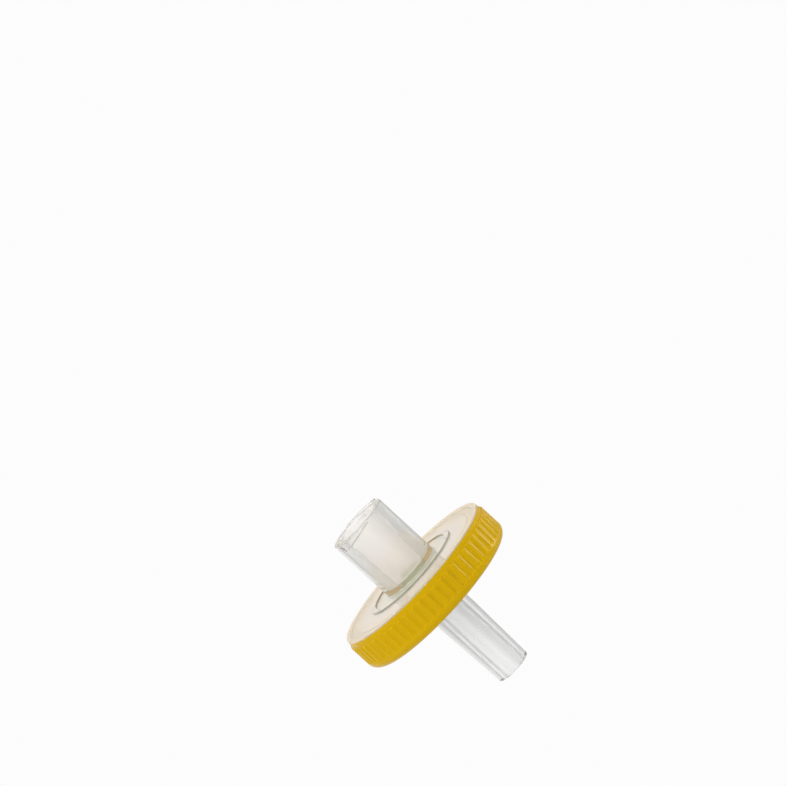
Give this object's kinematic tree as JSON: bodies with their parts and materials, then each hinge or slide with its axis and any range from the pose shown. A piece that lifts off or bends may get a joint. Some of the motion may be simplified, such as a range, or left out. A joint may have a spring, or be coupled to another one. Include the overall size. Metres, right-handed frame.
{
  "type": "syringe filter",
  "caption": "Disc-shaped syringe filter with clear shells, a white membrane, a ribbed yellow rim ring, a female Luer-lock inlet hub and a male Luer outlet tip.",
  "frame": {"origin": "centre of the inlet hub's mouth, which is the lowest face", "axes": "+Z along the flow, from the inlet mouth to the outlet tip; the lock thread's two lugs lie on the Y axis"},
  "size_m": [0.0196, 0.0196, 0.0221],
  "materials": {
    "clear_inlet_shell": "clear gloss",
    "white_membrane": "matte",
    "clear_outlet_shell": "clear gloss",
    "yellow_ring": "satin moulded"
  },
  "bodies": {
    "root": {"inlet_housing": "clear_inlet_shell", "membrane": "white_membrane", "outlet_housing": "clear_outlet_shell", "grip_ring": "yellow_ring"}
  },
  "joints": []
}
